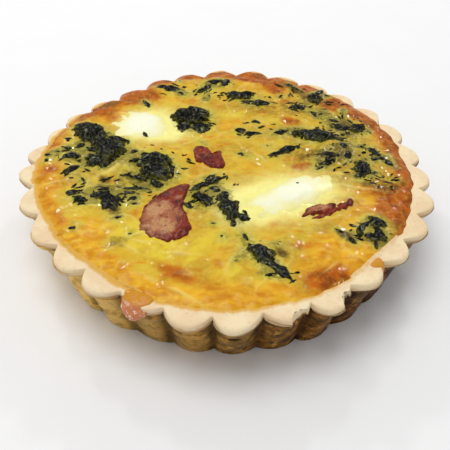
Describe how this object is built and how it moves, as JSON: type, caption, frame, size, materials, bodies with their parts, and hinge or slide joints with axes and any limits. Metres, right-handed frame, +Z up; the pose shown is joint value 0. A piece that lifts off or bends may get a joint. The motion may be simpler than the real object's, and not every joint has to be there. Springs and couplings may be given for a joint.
{
  "type": "quiche",
  "caption": "Round individual quiche: a pale fluted shortcrust case filled with set egg custard, spinach, soft cheese and dried tomato.",
  "frame": {"origin": "middle of the flat underside, where the quiche stands", "axes": "+Z up through the filling, -Y towards the side that faces the picture's camera, +X to its right"},
  "size_m": [0.1223, 0.1231, 0.0243],
  "materials": {
    "pastry": "baked shortcrust, dry and slightly rough, pale on the rim and browned on the wall",
    "egg_custard": "set egg custard, glossy, yellow to golden brown",
    "soft_cheese": "soft white cheese, smooth and moist",
    "spinach": "cooked spinach leaf, dark green and wet",
    "dried_tomato": "dried tomato, dark red, oily and wrinkled"
  },
  "bodies": {
    "root": {"crust": "pastry", "custard": "egg_custard", "cheese_left": "soft_cheese", "cheese_right": "soft_cheese", "spinach_left": "spinach", "spinach_centre": "spinach", "spinach_back": "spinach", "spinach_front_left": "spinach", "spinach_middle": "spinach", "spinach_left_rim": "spinach", "spinach_diagonal": "spinach", "spinach_front": "spinach", "spinach_front_right": "spinach", "spinach_bar": "spinach", "spinach_strip": "spinach", "spinach_right": "spinach", "spinach_oval": "spinach", "spinach_far_right": "spinach", "spinach_back_middle": "spinach", "spinach_back_left": "spinach", "spinach_back_top": "spinach", "spinach_back_right": "spinach", "tomato_large": "dried_tomato", "tomato_middle": "dried_tomato", "tomato_strip": "dried_tomato"}
  },
  "joints": []
}
